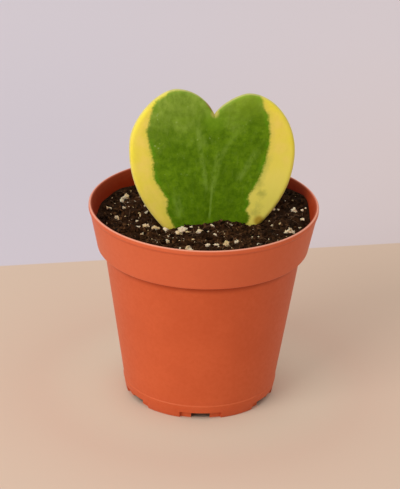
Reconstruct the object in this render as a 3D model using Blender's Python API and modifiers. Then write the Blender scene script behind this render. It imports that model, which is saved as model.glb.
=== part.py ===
# Potted heart-leaf hoya: one thick heart-shaped leaf cutting in potting mix, in a small plastic pot.
# Metres, +Z up. The origin is the centre of the pot's foot ring, on the surface that the pot stands on.

import math
import random

import bmesh
import bpy
from mathutils import Matrix, Vector, noise

MM = 0.001
TAU = 2.0 * math.pi

# Pot: outer sizes at its rim, at the lower edge of the rim band, at the step under it and at the foot.
RIM_RADIUS = 40.0 * MM
POT_HEIGHT = 70.8 * MM
LIP_HEIGHT = 1.5 * MM
LIP_PROUD = 0.4 * MM
BAND_RADIUS = 36.75 * MM
BAND_Z = 55.0 * MM
STEP_RADIUS = 34.45 * MM
STEP_Z = 54.7 * MM
STEP_THICK = 0.9 * MM
HEEL_RADIUS = 27.0 * MM
HEEL_Z = 5.3 * MM
HEEL_STEP = 0.2 * MM
FOOT_RADIUS = 26.2 * MM
FOOT_WIDTH = 1.6 * MM
WALL = 1.0 * MM
FLOOR_Z = 3.6 * MM
POT_STEPS = 60

# Six notches in the foot ring: a shallow recess round an opening, with a drain hole behind each.
NOTCHES = 6
NOTCH_ANGLE = math.radians(32.0)
NOTCH_TURN = math.radians(1.6)
NOTCH_HEIGHT = 2.3 * MM
NOTCH_DEPTH = 0.9 * MM
VENT_WIDTH = 6.5 * MM
VENT_HEIGHT = 1.7 * MM
DRAIN_RADIUS = 2.8 * MM
DRAIN_CENTRE = 18.5 * MM

# Potting mix: its mean level at the middle, its slope towards +X and +Y, its lumps, and its
# mounds and dips: where each one is, how wide and how high.
SOIL_Z = 65.0 * MM
SOIL_SLOPE = (0.02, 0.015)
SOIL_LUMP = 0.8 * MM
SOIL_LUMP_SIZE = 9.0 * MM
SOIL_MOUNDS = (
    (-12.0 * MM, -6.0 * MM, 9.0 * MM, -2.0 * MM), (33.0 * MM, 14.0 * MM, 9.0 * MM, 2.2 * MM),
    (18.5 * MM, -1.0 * MM, 6.0 * MM, -1.8 * MM), (35.0 * MM, -8.0 * MM, 7.0 * MM, -1.5 * MM),
    (-30.0 * MM, 12.0 * MM, 9.0 * MM, 0.8 * MM),
)
SOIL_STEPS = 48
SOIL_RINGS = 9
CRUMBS = 60
CRUMB_SIZE = (0.9 * MM, 1.7 * MM)
GRAINS = 60
GRAIN_SIZE = (0.7 * MM, 1.6 * MM)

# Leaf blade, in its own plane: u to the right and v up from the point where the stalk begins.
# The edge is six Bezier arcs between its point, widest places, lobe tops and notch.
LEAF_POINT = Vector((0.0, 0.0))
RIGHT_SIDE = Vector((29.1, 41.7)) * MM
RIGHT_LOBE = Vector((11.8, 63.1)) * MM
LEAF_NOTCH = Vector((0.0, 55.4)) * MM
LEFT_LOBE = Vector((-13.2, 63.9)) * MM
LEFT_SIDE = Vector((-28.75, 44.3)) * MM
LEAF_CENTRE = Vector((0.0, 36.0)) * MM
LEAF_THICKNESS = 2.8 * MM
LEAF_EDGE_ROUND = 1.6 * MM
LEAF_ARCH = 1.5 * MM
BLADE_STEPS = 60
BLADE_RINGS = 12
LEAF_TIP_AT = Vector((1.0, -4.9, 47.8)) * MM
LEAF_YAW = math.radians(8.0)
LEAF_LEAN = math.radians(8.0)
LEAF_SPIN = math.radians(-3.1)

# Stalk and roots, under the soil line.
STALK_LENGTH = 10.0 * MM
STALK_RADIUS = 1.7 * MM
ROOTS = 6
ROOT_LENGTH = (18.0 * MM, 27.0 * MM)
ROOT_RADIUS = 0.65 * MM
ROOT_TIP_RADIUS = 0.35 * MM
ROOT_SPREAD = 1.1

GAP = 0.35 * MM


def make_collection(name):
    collection = bpy.data.collections.new(name)
    bpy.context.scene.collection.children.link(collection)
    return collection


def make_material(name, colour, roughness):
    material = bpy.data.materials.new(name)
    material.use_nodes = True
    shader = material.node_tree.nodes["Principled BSDF"]
    shader.inputs["Base Color"].default_value = (*colour, 1.0)
    shader.inputs["Roughness"].default_value = roughness
    shader.inputs["Metallic"].default_value = 0.0
    return material


def add_object(name, data, collection, matrix=None):
    obj = bpy.data.objects.new(name, data)
    collection.objects.link(obj)
    if matrix is not None:
        obj.matrix_world = matrix
    return obj


def evaluated_mesh(obj):
    bpy.context.view_layer.update()
    seen = obj.evaluated_get(bpy.context.evaluated_depsgraph_get())
    return bpy.data.meshes.new_from_object(seen)


def settle(obj):
    # Applies the object's modifiers.
    mesh = evaluated_mesh(obj)
    obj.modifiers.clear()
    obj.data = mesh


def mark_as_cutter(obj):
    obj.hide_render = True
    obj.display_type = "WIRE"
    return obj


def cut(obj, cutter):
    tool = obj.modifiers.new("cut_" + cutter.name, "BOOLEAN")
    tool.operation = "DIFFERENCE"
    tool.solver = "EXACT"
    tool.object = cutter


def fuse(obj, pieces):
    # Joins every object of the collection to obj as one body, then removes them.
    tool = obj.modifiers.new("fuse", "BOOLEAN")
    tool.operation = "UNION"
    tool.solver = "EXACT"
    tool.operand_type = "COLLECTION"
    tool.collection = pieces
    settle(obj)
    for piece in list(pieces.objects):
        bpy.data.objects.remove(piece)
    bpy.data.collections.remove(pieces)


def round_corner(before, corner, after, radius, points):
    # Quadratic arc that starts and ends at the distance radius from the corner.
    start = corner + (before - corner).normalized() * radius
    end = corner + (after - corner).normalized() * radius
    arc = []
    for i in range(points + 1):
        t = i / points
        arc.append(start * (1 - t) ** 2 + corner * 2 * t * (1 - t) + end * t * t)
    return arc


def rounded_profile(corners):
    # corners: (radius, z, rounding) from one end of the profile to the other.
    spots = [Vector((r, z)) for r, z, _ in corners]
    outline = [spots[0]]
    for i in range(1, len(corners) - 1):
        rounding = corners[i][2]
        if rounding:
            points = 3 if rounding > 1.0 * MM else 2
            outline += round_corner(spots[i - 1], spots[i], spots[i + 1], rounding, points)
        else:
            outline.append(spots[i])
    outline.append(spots[-1])
    return outline


def turn_profile(name, outline, steps, collection, angle=TAU, closed=False):
    # Turns an outline of (radius, z) about Z.
    mesh = bpy.data.meshes.new(name)
    count = len(outline)
    edges = [(i, i + 1) for i in range(count - 1)]
    if closed:
        edges.append((count - 1, 0))
    mesh.from_pydata([(p.x, 0.0, p.y) for p in outline], edges, [])
    obj = add_object(name, mesh, collection)
    screw = obj.modifiers.new("turn", "SCREW")
    screw.axis = "Z"
    screw.angle = angle
    screw.steps = steps
    screw.render_steps = steps
    screw.use_merge_vertices = True
    screw.merge_threshold = 0.01 * MM
    return obj


def outer_radius(z):
    # Outer radius of the pot's wall between its heel and its lip.
    stops = [(HEEL_Z, HEEL_RADIUS), (STEP_Z, STEP_RADIUS), (BAND_Z, BAND_RADIUS), (POT_HEIGHT, RIM_RADIUS)]
    for (z0, r0), (z1, r1) in zip(stops, stops[1:]):
        if z <= z1:
            break
    return r0 + (r1 - r0) * (z - z0) / (z1 - z0)


def make_pot(collection, cutters):
    lip_z = POT_HEIGHT - LIP_HEIGHT
    below_lip = RIM_RADIUS - LIP_PROUD
    foot_inner = FOOT_RADIUS - FOOT_WIDTH
    corners = [
        (0.0, FLOOR_Z, 0),
        (outer_radius(HEEL_Z) - WALL, FLOOR_Z, 1.2 * MM),
        (STEP_RADIUS - WALL, STEP_Z + STEP_THICK, 0.5 * MM),
        (BAND_RADIUS - WALL, BAND_Z + STEP_THICK, 0.6 * MM),
        (RIM_RADIUS - WALL, POT_HEIGHT, 0.45 * MM),
        (RIM_RADIUS, POT_HEIGHT, 0.45 * MM),
        (RIM_RADIUS, lip_z, 0),
        (below_lip, lip_z - LIP_PROUD, 0),
        (BAND_RADIUS, BAND_Z, 0.7 * MM),
        (STEP_RADIUS, STEP_Z, 0.4 * MM),
        (HEEL_RADIUS, HEEL_Z, 0),
        (HEEL_RADIUS + HEEL_STEP, HEEL_Z - HEEL_STEP, 0),
        (FOOT_RADIUS, 0.0, 0),
        (foot_inner, 0.0, 0),
        (foot_inner, FLOOR_Z - WALL, 0),
        (0.0, FLOOR_Z - WALL, 0),
    ]
    pot = turn_profile("pot", rounded_profile(corners), POT_STEPS, collection)
    settle(pot)
    for index in range(NOTCHES):
        middle = TAU * index / NOTCHES - TAU / 4 + NOTCH_TURN
        cut(pot, make_recess(index, middle, cutters))
        cut(pot, make_vent(index, middle, cutters))
        cut(pot, make_drain(index, middle, cutters))
    settle(pot)
    pot.data.shade_smooth()
    pot.data.set_sharp_from_angle(angle=math.radians(35.0))
    pot.data.materials.clear()
    pot.data.materials.append(make_material("terracotta_plastic", (0.62, 0.11, 0.045), 0.5))
    return pot


def make_recess(index, middle, cutters):
    inner = FOOT_RADIUS - NOTCH_DEPTH
    outer = FOOT_RADIUS + 2.0 * MM
    low = -1.0 * MM
    outline = [Vector(p) for p in ((inner, NOTCH_HEIGHT), (outer, NOTCH_HEIGHT), (outer, low), (inner, low))]
    steps = 8
    recess = turn_profile(f"recess_{index}", outline, steps, cutters, angle=NOTCH_ANGLE, closed=True)
    settle(recess)
    form = bmesh.new()
    form.from_mesh(recess.data)
    rims = [edge for edge in form.edges if edge.is_boundary]
    bmesh.ops.holes_fill(form, edges=rims)
    bmesh.ops.recalc_face_normals(form, faces=form.faces)
    form.to_mesh(recess.data)
    form.free()
    recess.rotation_euler.z = middle - NOTCH_ANGLE / 2
    return mark_as_cutter(recess)


def make_vent(index, middle, cutters):
    reach = 5.0 * MM
    bpy.ops.mesh.primitive_cube_add(size=1.0)
    vent = bpy.context.object
    vent.name = f"vent_{index}"
    spin = Matrix.Rotation(middle, 4, "Z")
    place = Matrix.Translation((FOOT_RADIUS - FOOT_WIDTH / 2, 0.0, 0.0))
    size = Matrix.Diagonal((reach, VENT_WIDTH, 2 * VENT_HEIGHT, 1.0))
    vent.data.transform(spin @ place @ size)
    return mark_as_cutter(move_to(vent, cutters))


def make_drain(index, middle, cutters):
    bpy.ops.mesh.primitive_cylinder_add(vertices=16, radius=DRAIN_RADIUS, depth=4 * WALL)
    drain = bpy.context.object
    drain.name = f"drain_{index}"
    along = Vector((math.cos(middle), math.sin(middle), 0.0)) * DRAIN_CENTRE
    drain.location = along + Vector((0.0, 0.0, FLOOR_Z - WALL / 2))
    return mark_as_cutter(move_to(drain, cutters))


def move_to(obj, collection):
    for owner in list(obj.users_collection):
        owner.objects.unlink(obj)
    collection.objects.link(obj)
    return obj


def bezier(p0, p1, p2, p3, t):
    s = 1.0 - t
    return p0 * s ** 3 + p1 * 3 * s * s * t + p2 * 3 * s * t * t + p3 * t ** 3


def leaf_edge(turn):
    # Point of the blade's edge, from its point (0) up the right side, over both lobes and down the left.
    right, up = Vector((MM, 0.0)), Vector((0.0, MM))
    arcs = [
        (LEAF_POINT, 10.4 * right + 10.5 * up, RIGHT_SIDE - 21.6 * up, RIGHT_SIDE),
        (RIGHT_SIDE, RIGHT_SIDE + 11.7 * up, RIGHT_LOBE + 8.6 * right, RIGHT_LOBE),
        (RIGHT_LOBE, RIGHT_LOBE - 3.0 * right, LEAF_NOTCH + 1.8 * right + 3.9 * up, LEAF_NOTCH),
        (LEAF_NOTCH, LEAF_NOTCH - 1.8 * right + 3.9 * up, LEFT_LOBE + 6.6 * right, LEFT_LOBE),
        (LEFT_LOBE, LEFT_LOBE - 6.5 * right, LEFT_SIDE + 8.8 * up, LEFT_SIDE),
        (LEFT_SIDE, LEFT_SIDE - 24.6 * up, -9.2 * right + 10.9 * up, LEAF_POINT),
    ]
    place = (turn % 1.0) * len(arcs)
    index = min(int(place), len(arcs) - 1)
    return bezier(*arcs[index], place - index)


def leaf_matrix():
    turn = Matrix.Rotation(LEAF_YAW, 4, "Z") @ Matrix.Rotation(math.radians(90.0) - LEAF_LEAN, 4, "X")
    return Matrix.Translation(LEAF_TIP_AT) @ turn @ Matrix.Rotation(LEAF_SPIN, 4, "Z")


def arch(u, v):
    # How far the blade bows back at its sides and lobes.
    across = u / RIGHT_SIDE.x
    along = (v - LEAF_CENTRE.y) / LEAF_CENTRE.y
    return -LEAF_ARCH * (across ** 2 + 0.4 * along ** 2)


def make_blade(name, clearance, collection):
    # A sphere whose circles of latitude become smaller copies of the blade's edge.
    form = bmesh.new()
    bmesh.ops.create_uvsphere(form, u_segments=BLADE_STEPS, v_segments=BLADE_RINGS, radius=1.0)
    for vert in form.verts:
        reach = min(1.0, math.hypot(vert.co.x, vert.co.y))
        side = 1.0 if vert.co.z > 0 else -1.0
        from_centre = leaf_edge(math.atan2(vert.co.y, vert.co.x) / TAU + 1e-7) - LEAF_CENTRE
        length = from_centre.length
        inward = (1.0 - reach) * length
        curve = min(1.0, inward / LEAF_EDGE_ROUND)
        half = LEAF_THICKNESS / 2 * math.sqrt(1.0 - (1.0 - curve) ** 2)
        if abs(vert.co.z) > 1e-4:
            half += clearance
        spot = LEAF_CENTRE + from_centre * (reach * (length + 1.2 * clearance) / length)
        vert.co = (spot.x, spot.y, side * half + arch(spot.x, spot.y))
    mesh = bpy.data.meshes.new(name)
    form.to_mesh(mesh)
    form.free()
    return add_object(name, mesh, collection, leaf_matrix())


def make_tube(name, points, radii, sides, collection):
    curve = bpy.data.curves.new(name, "CURVE")
    curve.dimensions = "3D"
    curve.bevel_depth = 1.0
    curve.bevel_resolution = sides // 2 - 2
    curve.use_fill_caps = True
    spline = curve.splines.new("POLY")
    spline.points.add(len(points) - 1)
    for point, spot, radius in zip(spline.points, points, radii):
        point.co = (*spot, 1.0)
        point.radius = radius
    guide = bpy.data.objects.new(name, curve)
    collection.objects.link(guide)
    mesh = evaluated_mesh(guide)
    matrix = guide.matrix_world.copy()
    bpy.data.objects.remove(guide)
    form = bmesh.new()
    form.from_mesh(mesh)
    bmesh.ops.remove_doubles(form, verts=form.verts, dist=0.001 * MM)
    bmesh.ops.recalc_face_normals(form, faces=form.faces)
    form.to_mesh(mesh)
    form.free()
    return add_object(name, mesh, collection, matrix)


def make_stalk(clearance, collection):
    frame = leaf_matrix()
    points = []
    radii = []
    steps = 5
    for i in range(steps + 1):
        along = i / steps
        points.append(frame @ Vector((0.0, 4.0 * MM - (STALK_LENGTH + 4.0 * MM) * along, arch(0.0, 0.0))))
        radii.append(STALK_RADIUS * (0.75 + 0.25 * math.sin(math.pi * along)) + clearance)
    make_tube("stalk", points, radii, 10, collection)
    return points[-1]


def make_roots(start, clearance, collection):
    draw = random.Random(11)
    steps = 9
    for index in range(ROOTS):
        heading = TAU * (index + draw.uniform(-0.25, 0.25)) / ROOTS
        length = draw.uniform(*ROOT_LENGTH)
        spread = ROOT_SPREAD * draw.uniform(0.5, 1.2)
        wave = draw.uniform(0.0, TAU)
        spot = start + Vector((0.0, 0.0, 2.5 * MM + 0.5 * MM * index))
        points = []
        radii = []
        for i in range(steps + 1):
            along = i / steps
            points.append(spot.copy())
            radii.append(ROOT_RADIUS + (ROOT_TIP_RADIUS - ROOT_RADIUS) * along + clearance)
            sway = heading + 0.9 * math.sin(wave + 5.0 * along)
            flat = spread * (1.0 - 0.75 * along)
            step = Vector((flat * math.cos(sway), flat * math.sin(sway), -1.0))
            spot += step.normalized() * length / steps
        make_tube(f"root_{index}", points, radii, 6, collection)


def make_leaf(name, clearance, collection):
    blade = make_blade(name, clearance, collection)
    growth = make_collection(name + "_growth")
    stalk_end = make_stalk(clearance, growth)
    make_roots(stalk_end, clearance, growth)
    fuse(blade, growth)
    return blade


def soil_height(x, y):
    height = SOIL_Z + SOIL_SLOPE[0] * x + SOIL_SLOPE[1] * y
    for mound_x, mound_y, width, rise in SOIL_MOUNDS:
        height += rise * math.exp(-((x - mound_x) ** 2 + (y - mound_y) ** 2) / width ** 2)
    lump = noise.noise(Vector((x, y, 0.0)) / SOIL_LUMP_SIZE)
    fine = noise.noise(Vector((x, y, 0.05)) / (SOIL_LUMP_SIZE * 0.35))
    return height + SOIL_LUMP * (lump + 0.35 * fine)


def soil_radius(z):
    # Inside the pot's wall, a gap away.
    return outer_radius(z) - WALL - 1.2 * GAP


def make_soil_body(collection):
    # The top is turned flat in rings, then raised to its height at each point.
    floor = FLOOR_Z + GAP
    top_radius = soil_radius(SOIL_Z)
    flat_top = [Vector((top_radius * i / SOIL_RINGS, SOIL_Z)) for i in range(SOIL_RINGS)]
    corners = [
        (top_radius, SOIL_Z, 0),
        (BAND_RADIUS - WALL - 1.2 * GAP, BAND_Z + STEP_THICK + GAP, 0.8 * MM),
        (STEP_RADIUS - WALL - 1.2 * GAP, STEP_Z + STEP_THICK + GAP, 0.8 * MM),
        (soil_radius(HEEL_Z), floor, 1.6 * MM),
        (0.0, floor, 0),
    ]
    soil = turn_profile("potting_soil", flat_top + rounded_profile(corners), SOIL_STEPS, collection)
    settle(soil)
    for vert in soil.data.vertices:
        if vert.co.z > SOIL_Z - 0.001 * MM:
            vert.co.z = soil_height(vert.co.x, vert.co.y)
    return soil


def leaf_clear_distance(x, y):
    # Distance from the strip of soil that the blade passes through.
    base = leaf_matrix() @ Vector((0.0, SOIL_Z - LEAF_TIP_AT.z, 0.0))
    across = Vector((math.cos(LEAF_YAW), math.sin(LEAF_YAW)))
    off = Vector((x, y)) - base.xy
    along = max(-17.5 * MM, min(17.5 * MM, off.dot(across)))
    return (off - across * along).length - LEAF_THICKNESS / 2 - GAP


def make_lump(name, draw, size, stretch, sunk, spot, collection):
    # One crumb or grain: a jittered icosahedron, bedded in the soil.
    bpy.ops.mesh.primitive_ico_sphere_add(subdivisions=1, radius=1.0)
    lump = bpy.context.object
    lump.name = name
    for vert in lump.data.vertices:
        vert.co *= draw.uniform(0.82, 1.18)
    spin = Matrix.Rotation(draw.uniform(0.0, TAU), 4, "Z") @ Matrix.Rotation(draw.uniform(-0.6, 0.6), 4, "X")
    shape = Matrix.Diagonal((size * draw.uniform(1.0, stretch), size, size * draw.uniform(0.7, 1.0), 1.0))
    centre = Vector((spot.x, spot.y, soil_height(spot.x, spot.y) + size * (1.0 - 2.0 * sunk) * 0.7))
    lump.data.transform(Matrix.Translation(centre) @ spin @ shape)
    return move_to(lump, collection)


def scatter_lumps(prefix, count, sizes, stretch, lean, seed, taken, collection):
    # lean: how strongly the lumps gather on the -X side of the pot.
    draw = random.Random(seed)
    placed = 0
    while placed < count:
        size = draw.uniform(*sizes) * draw.uniform(0.7, 1.0)
        limit = soil_radius(SOIL_Z) - 1.4 * stretch * size
        radius = limit * math.sqrt(draw.random())
        angle = draw.uniform(0.0, TAU)
        spot = Vector((radius * math.cos(angle), radius * math.sin(angle)))
        if draw.random() < lean * (0.5 + spot.x / (2.0 * RIM_RADIUS)):
            continue
        if leaf_clear_distance(spot.x, spot.y) < 1.3 * stretch * size:
            continue
        if any((spot - other).length < 0.9 * (size + reach) for other, reach in taken):
            continue
        taken.append((spot, size))
        make_lump(f"{prefix}_{placed}", draw, size, stretch, 0.42, spot, collection)
        placed += 1


def make_soil(collection, leaf_cutter):
    soil = make_soil_body(collection)
    lumps = make_collection("lumps")
    taken = []
    scatter_lumps("grain", GRAINS, GRAIN_SIZE, 1.3, 0.9, 5, taken, lumps)
    scatter_lumps("crumb", CRUMBS, CRUMB_SIZE, 1.2, 0.0, 8, taken, lumps)
    fuse(soil, lumps)
    cut(soil, leaf_cutter)
    settle(soil)
    soil.data.materials.clear()
    soil.data.materials.append(make_material("peat_mix", (0.03, 0.02, 0.014), 0.95))
    return soil


def main():
    for obj in list(bpy.data.objects):
        bpy.data.objects.remove(obj)
    plant = make_collection("potted_hoya_plant")
    cutters = make_collection("cutters")

    make_pot(plant, cutters)
    leaf = make_leaf("leaf", 0.0, plant)
    leaf.data.shade_smooth()
    leaf.data.set_sharp_from_angle(angle=math.radians(50.0))
    leaf.data.materials.clear()
    leaf.data.materials.append(make_material("variegated_leaf", (0.12, 0.22, 0.02), 0.45))
    leaf_cutter = mark_as_cutter(make_leaf("leaf_hole", GAP, cutters))
    make_soil(plant, leaf_cutter)


main()
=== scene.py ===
# a potted heart-leaf hoya: nursery pot, potting mix with perlite, and one thick leaf
import math
import random

import bpy
from mathutils import Matrix, Vector, noise


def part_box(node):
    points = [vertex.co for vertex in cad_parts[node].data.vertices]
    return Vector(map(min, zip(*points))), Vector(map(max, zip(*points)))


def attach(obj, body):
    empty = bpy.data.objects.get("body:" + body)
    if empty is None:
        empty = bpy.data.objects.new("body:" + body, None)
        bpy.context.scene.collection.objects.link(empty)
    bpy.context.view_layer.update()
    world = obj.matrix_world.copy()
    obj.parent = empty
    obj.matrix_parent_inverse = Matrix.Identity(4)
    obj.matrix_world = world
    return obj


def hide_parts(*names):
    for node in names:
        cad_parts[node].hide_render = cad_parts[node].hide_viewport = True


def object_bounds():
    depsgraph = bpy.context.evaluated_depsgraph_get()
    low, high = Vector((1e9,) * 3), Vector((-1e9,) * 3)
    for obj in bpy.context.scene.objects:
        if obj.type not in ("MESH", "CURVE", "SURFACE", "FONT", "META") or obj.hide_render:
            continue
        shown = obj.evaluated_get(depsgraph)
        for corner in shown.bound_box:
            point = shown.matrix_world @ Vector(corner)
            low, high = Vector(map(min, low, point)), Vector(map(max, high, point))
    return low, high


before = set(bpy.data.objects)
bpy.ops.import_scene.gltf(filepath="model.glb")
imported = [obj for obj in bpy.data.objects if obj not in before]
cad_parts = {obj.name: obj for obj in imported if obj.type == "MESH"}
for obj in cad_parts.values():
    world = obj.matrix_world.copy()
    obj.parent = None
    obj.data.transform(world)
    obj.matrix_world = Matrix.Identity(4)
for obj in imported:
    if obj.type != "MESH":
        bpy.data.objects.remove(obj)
cadLow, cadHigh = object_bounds()
potLow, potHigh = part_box("pot")
mm = 0.001
turn = 2.0 * math.pi


def deselectAll():
    if bpy.context.mode != "OBJECT":
        bpy.ops.object.mode_set(mode="OBJECT")
    bpy.ops.object.select_all(action="DESELECT")


def activate(piece):
    deselectAll()
    piece.select_set(True)
    bpy.context.view_layer.objects.active = piece


def takeActive(name):
    piece = bpy.context.active_object
    piece.name = name
    piece.data.name = name
    return piece


def bakePlace(piece):
    # the place, turn and scale go into the mesh
    activate(piece)
    bpy.ops.object.transform_apply(location=True, rotation=True, scale=True)


def applyAll(piece):
    activate(piece)
    for modifier in list(piece.modifiers):
        bpy.ops.object.modifier_apply(modifier=modifier.name)


def joinPieces(pieces, name):
    deselectAll()
    for piece in pieces:
        piece.select_set(True)
    bpy.context.view_layer.objects.active = pieces[0]
    bpy.ops.object.join()
    joined = takeActive(name)
    bakePlace(joined)
    return joined


def copyPiece(template, matrix):
    # each copy keeps its own mesh
    copy = template.copy()
    copy.data = template.data.copy()
    copy.matrix_world = matrix
    bpy.context.scene.collection.objects.link(copy)
    return copy


def removePieces(pieces):
    for piece in pieces:
        bpy.data.objects.remove(piece)


def drawOut(rise, scale, height, flat=1.0):
    # the selected ring drawn up or down to a height and made wider or narrower
    bpy.ops.mesh.extrude_edges_move(TRANSFORM_OT_translate={"value": (0, 0, rise)})
    bpy.ops.transform.resize(value=(scale, scale, flat), center_override=(0, 0, height))


def closeRing():
    # the selected ring drawn together at its middle
    bpy.ops.mesh.extrude_edges_move(TRANSFORM_OT_translate={"value": (0, 0, 0)})
    bpy.ops.mesh.merge(type="CENTER")


def turnOutward():
    bpy.ops.mesh.select_all(action="SELECT")
    bpy.ops.mesh.normals_make_consistent(inside=False)
    bpy.ops.object.mode_set(mode="OBJECT")


def smooth(piece, degrees):
    activate(piece)
    bpy.ops.object.shade_smooth_by_angle(angle=math.radians(degrees))


def finishPiece(piece, paint, node):
    piece.data.materials.clear()
    piece.data.materials.append(paint)
    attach(piece, "root")
    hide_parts(node)


def tone(red, green, blue):
    # screen colour, 0 to 255, as the linear colour that a shader takes
    def linear(part):
        part /= 255.0
        return part / 12.92 if part <= 0.04045 else ((part + 0.055) / 1.055) ** 2.4
    return (linear(red), linear(green), linear(blue), 1.0)


class Value:
    # a socket whose arithmetic adds Math nodes
    def __init__(self, paint, socket):
        self.paint = paint
        self.socket = socket

    def math(self, operation, *others):
        return self.paint.node("ShaderNodeMath", dict(operation=operation), dict(enumerate((self, *others))))

    def __add__(self, other):
        return self.math("ADD", other)

    __radd__ = __add__

    def __mul__(self, other):
        return self.math("MULTIPLY", other)

    __rmul__ = __mul__

    def __sub__(self, other):
        return self.math("SUBTRACT", other)

    def __rsub__(self, other):
        return self.paint.node("ShaderNodeMath", dict(operation="SUBTRACT"), {0: other, 1: self})

    def __truediv__(self, other):
        return self.math("DIVIDE", other)

    def __pow__(self, other):
        return self.math("POWER", other)

    def __abs__(self):
        return self.math("ABSOLUTE")


class Paint:
    # one material, built on its Principled shader
    def __init__(self, name, **constants):
        self.material = bpy.data.materials.new(name)
        self.material.use_nodes = True
        self.shader = self.material.node_tree.nodes["Principled BSDF"]
        for socket, value in constants.items():
            self.set(socket.replace("_", " "), value)

    def feed(self, socket, value):
        if isinstance(value, Value):
            self.material.node_tree.links.new(value.socket, socket)
        else:
            socket.default_value = value

    def set(self, socket, value):
        self.feed(self.shader.inputs[socket], value)

    def node(self, kind, settings=None, sockets=None, out=0):
        made = self.material.node_tree.nodes.new(kind)
        for key, value in (settings or {}).items():
            if key == "stops":
                self.fillRamp(made.color_ramp, value)
            else:
                setattr(made, key, value)
        for key, value in (sockets or {}).items():
            self.feed(made.inputs[key], value)
        return Value(self, made.outputs[out])

    def fillRamp(self, ramp, stops):
        while len(ramp.elements) < len(stops):
            ramp.elements.new(0.5)
        for element, (place, level) in zip(ramp.elements, stops):
            element.position = place
            element.color = (level, level, level, 1.0)

    def objectPoint(self, scale=1.0):
        point = self.node("ShaderNodeTexCoord", out="Object")
        return self.node("ShaderNodeVectorMath", dict(operation="MULTIPLY"),
                         {0: point, 1: (scale, scale, scale)})

    def split(self, point, axis):
        return self.node("ShaderNodeSeparateXYZ", None, {0: point}, out=axis)

    def join(self, x, y, z):
        return self.node("ShaderNodeCombineXYZ", None, {0: x, 1: y, 2: z})

    def noise(self, point, scale, detail, rough=0.5):
        return self.node("ShaderNodeTexNoise", None,
                         {"Vector": point, "Scale": scale, "Detail": detail, "Roughness": rough})

    def cells(self, point, scale, out="Distance"):
        return self.node("ShaderNodeTexVoronoi", None, {"Vector": point, "Scale": scale}, out=out)

    def attribute(self, name):
        return self.node("ShaderNodeAttribute", dict(attribute_name=name), out="Fac")

    def band(self, value, low, high):
        # 0 below low, 1 above high, smooth between; low may be above high
        return self.node("ShaderNodeMapRange", dict(interpolation_type="SMOOTHSTEP"),
                         {"Value": value, "From Min": low, "From Max": high})

    def away(self, u, v, middle=(0.0, 0.0)):
        # how far a flat point is from the middle
        across, along = u - middle[0], v - middle[1]
        return (across * across + along * along) ** 0.5

    def mix(self, amount, first, second):
        # the node's colours are its sockets 6 and 7, and its third output
        return self.node("ShaderNodeMix", dict(data_type="RGBA"), {0: amount, 6: first, 7: second}, out=2)

    def curve(self, value, stops):
        return self.node("ShaderNodeValToRGB", dict(stops=stops), {0: value})

    def bump(self, height, strength, distance):
        return self.node("ShaderNodeBump", None,
                         {"Height": height, "Strength": strength, "Distance": distance})


pot = dict(
    steps=192, wall=1.0 * mm, lipHeight=1.5 * mm, lipProud=0.4 * mm,
    bandRadius=36.75 * mm, bandHeight=55.0 * mm, stepRadius=34.45 * mm, stepHeight=54.7 * mm,
    stepThick=0.9 * mm, heelRadius=27.0 * mm, heelHeight=5.3 * mm, heelStep=0.2 * mm,
    footRadius=26.2 * mm, footWidth=1.6 * mm, floorHeight=3.6 * mm,
    notches=6, notchDegrees=32.0, notchTurn=math.radians(1.6), notchHeight=2.3 * mm, notchDepth=0.9 * mm,
    ventWidth=6.5 * mm, ventHeight=1.7 * mm, drainRadius=2.8 * mm, drainCentre=18.5 * mm,
    # how far the cutters reach past what they cut
    recessReach=3.0 * mm, recessDrop=1.0 * mm, recessSteps=16, ventReach=5.0 * mm, drainSteps=40,
    # corner roundings
    floorRound=1.2 * mm, stepInside=0.5 * mm, bandInside=0.6 * mm, lipRound=0.45 * mm, lipUnder=0.2 * mm,
    lipFoot=0.25 * mm, bandRound=0.7 * mm, stepRound=0.4 * mm, heelRound=0.1 * mm, footRound=0.15 * mm,
    plainTone=tone(210, 94, 54), cloudTone=tone(215, 98, 57), mottleTone=tone(200, 80, 38),
    # the lip and heel tones on the next line are painted highlights
    bandTone=tone(228, 116, 78), lipHighlightTone=tone(244, 172, 146), heelHighlightTone=tone(226, 118, 76),
    # the first tone on the next line is painted crease shade; the second is dust
    creaseShadeTone=tone(158, 52, 20), dustTone=tone(196, 120, 84),
    # the inside tones are partly a soil stain and partly painted light and shade
    shadeAndStainLeft=tone(150, 38, 0), shadeAndStainRight=tone(122, 18, 0), shadeAndStainEdge=tone(158, 44, 0),
)
rimRadius = (potHigh.x - potLow.x) / 2
rimHeight = potHigh.z


def potCorners():
    # radius, height, rounding and its steps at every corner, from the floor over the lip and down the outside
    p = pot
    footInside = p["footRadius"] - p["footWidth"]
    return [
        (p["heelRadius"] - p["wall"], p["floorHeight"], p["floorRound"], 4),
        (p["stepRadius"] - p["wall"], p["stepHeight"] + p["stepThick"], p["stepInside"], 4),
        (p["bandRadius"] - p["wall"], p["bandHeight"] + p["stepThick"], p["bandInside"], 4),
        (rimRadius - p["wall"], rimHeight, p["lipRound"], 4),
        (rimRadius, rimHeight, p["lipRound"], 4),
        (rimRadius, rimHeight - p["lipHeight"], p["lipUnder"], 2),
        (rimRadius - p["lipProud"], rimHeight - p["lipHeight"] - p["lipProud"], p["lipFoot"], 2),
        (p["bandRadius"], p["bandHeight"], p["bandRound"], 5),
        (p["stepRadius"], p["stepHeight"], p["stepRound"], 4),
        (p["heelRadius"], p["heelHeight"], p["heelRound"], 2),
        (p["heelRadius"] + p["heelStep"], p["heelHeight"] - p["heelStep"], p["heelRound"], 2),
        (p["footRadius"], 0.0, p["footRound"], 2),
        (footInside, 0.0, p["footRound"], 2),
        (footInside, p["floorHeight"] - p["wall"], 0, 0),
    ]


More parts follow.
